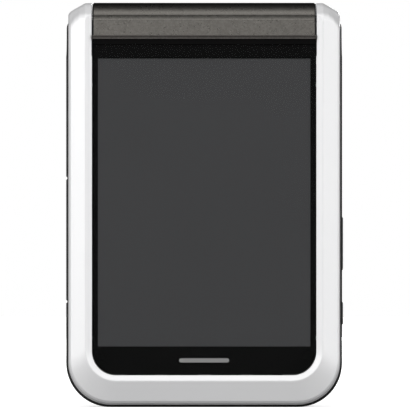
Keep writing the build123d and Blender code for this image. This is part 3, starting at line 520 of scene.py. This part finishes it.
def number(text, body, material):
    """One digit printed on the middle of its key."""
    mesh = digit_mesh(text, body + "_digit")
    points = [vertex.co for vertex in mesh.vertices]
    near = Vector([min(point[axis] for point in points) for axis in range(3)])
    far = Vector([max(point[axis] for point in points) for axis in range(3)])
    low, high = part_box(body)
    shift = middle(low, high) - middle(near, far)
    shift.y = low.y - near.y - INK_DEPTH
    mesh.transform(Matrix.Translation(shift))
    mesh.materials.clear()
    mesh.materials.append(material)
    piece = bpy.data.objects.new(body + "_digit", mesh)
    bpy.context.scene.collection.objects.link(piece)
    printed(piece, body)


def key_legends():
    """Digits on the number keys, and a small plain mark on each function key."""
    light_ink = ink("light_ink", 0.50, 0.60)
    for index, text in enumerate(KEY_LEGENDS):
        number(text, f"number_key_{index + 1:02d}", light_ink)
    for body, bars in FUNCTION_MARKS.items():
        low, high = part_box(body)
        centre = middle(low, high)
        centre.y = low.y

        def marks(bm, centre=centre, bars=bars):
            for offset, width in bars:
                bar(bm, centre + Vector((offset * MM, 0, 0)), width * MM, MARK_HEIGHT)

        printed(mesh_piece(body + "_mark", marks, light_ink), body)


def window_mark():
    """A plain printed bar low on the window's border."""
    grey_ink = ink("grey_ink", 0.17, 0.21)
    centre = middle(window_low, window_high)
    centre.y = window_low.y
    centre.z = window_low.z + WINDOW_BAR_Z

    def mark(bm):
        bar(bm, centre, WINDOW_BAR_WIDTH, WINDOW_BAR_HEIGHT)

    printed(mesh_piece("window_mark", mark, grey_ink), "lid")


# ---------------------------------------------------------------- stage, light and camera

def floor():
    """A wide pale floor. It throws no light back, so the object's underside stays in soft shade."""
    n = Nodes("floor_paint")
    tone = n.mix(n.noise(0.15, 3), grey(0.93), grey(0.95))
    material = n.surface(tone, 0.9, n.bump(n.noise(2 * MM, 2), 0.02 * MM), Specular_IOR_Level=0.05,
                         Emission_Color=(1, 1, 1, 1), Emission_Strength=0.6)

    def disc(bm):
        bmesh.ops.create_circle(bm, cap_ends=True, segments=96, radius=FLOOR_RADIUS)

    piece = mesh_piece("floor", disc, material)
    piece.location = (0, 0, cad_box[0].z - FLOOR_GAP)
    piece.visible_diffuse = False
    piece.visible_glossy = False


def area_light(name, place, size, power, aim):
    """A soft square light that looks at a point and isn't seen itself."""
    data = bpy.data.lights.new(name, "AREA")
    data.shape = "SQUARE"
    data.size = size
    data.energy = power
    lamp = bpy.data.objects.new(name, data)
    lamp.location = place
    lamp.visible_camera = False
    lamp.rotation_euler = (Vector(aim) - Vector(place)).to_track_quat("-Z", "Y").to_euler()
    bpy.context.scene.collection.objects.link(lamp)


def surround():
    """What the camera sees round the object is white. What lights the object is bright in front and
    above, and dim below and behind."""
    world = bpy.data.worlds.new("surround")
    world.use_nodes = True
    tree = world.node_tree
    tree.nodes.clear()

    def level(value, band, start, end):
        node = tree.nodes.new("ShaderNodeMapRange")
        node.interpolation_type = "SMOOTHSTEP"
        tree.links.new(value, node.inputs[0])
        for socket, setting in zip(node.inputs[1:5], (*band, start, end)):
            socket.default_value = setting
        return node.outputs[0]

    def times(a, b):
        node = tree.nodes.new("ShaderNodeMath")
        node.operation = "MULTIPLY"
        tree.links.new(a, node.inputs[0])
        tree.links.new(b, node.inputs[1])
        return node.outputs[0]

    def background():
        node = tree.nodes.new("ShaderNodeBackground")
        node.inputs["Color"].default_value = (1, 1, 1, 1)
        node.inputs["Strength"].default_value = 1.0
        return node

    split = tree.nodes.new("ShaderNodeSeparateXYZ")
    tree.links.new(tree.nodes.new("ShaderNodeTexCoord").outputs["Generated"], split.inputs[0])
    front = level(split.outputs["Y"], FRONT_BAND, AMBIENT_BACK, 1.0)
    opening = level(split.outputs["Y"], LENS_BAND, 1.0, AMBIENT_LENS)
    raised = level(split.outputs["Z"], RAISED_BAND, AMBIENT_LOW, AMBIENT_HIGH)
    lit = background()
    tree.links.new(times(times(front, opening), raised), lit.inputs["Strength"])
    seen = background()
    mix = tree.nodes.new("ShaderNodeMixShader")
    out = tree.nodes.new("ShaderNodeOutputWorld")
    tree.links.new(tree.nodes.new("ShaderNodeLightPath").outputs["Is Camera Ray"], mix.inputs[0])
    tree.links.new(lit.outputs[0], mix.inputs[1])
    tree.links.new(seen.outputs[0], mix.inputs[2])
    tree.links.new(mix.outputs[0], out.inputs[0])
    bpy.context.scene.world = world
    bpy.context.scene.view_settings.view_transform = "Standard"


def studio():
    """Soft boxes that look at the object's middle."""
    aim = (0, 0, middle(*cad_box).z)
    for name, (place, size, power) in SOFT_BOXES.items():
        area_light(name, place, size, power, aim)
    surround()


def front_camera():
    """The camera: straight at the front, far off, with the object filling the frame's height."""
    data = bpy.data.cameras.new("camera")
    data.sensor_width = SENSOR_WIDTH
    data.lens = SENSOR_WIDTH * (CAMERA_DISTANCE + barrel_low.y) / VIEW_WIDTH
    data.clip_start = 0.01
    data.clip_end = 50.0
    camera = bpy.data.objects.new("camera", data)
    camera.location = (CAMERA_RIGHT, -CAMERA_DISTANCE, CAMERA_HEIGHT)
    camera.rotation_euler = (math.pi / 2, 0, 0)
    bpy.context.scene.collection.objects.link(camera)
    bpy.context.scene.camera = camera


def main():
    """Dress the frame, add the printing, and set the stage, the light and the camera."""
    dress_frame()
    window_mark()
    key_legends()
    floor()
    studio()
    front_camera()


main()
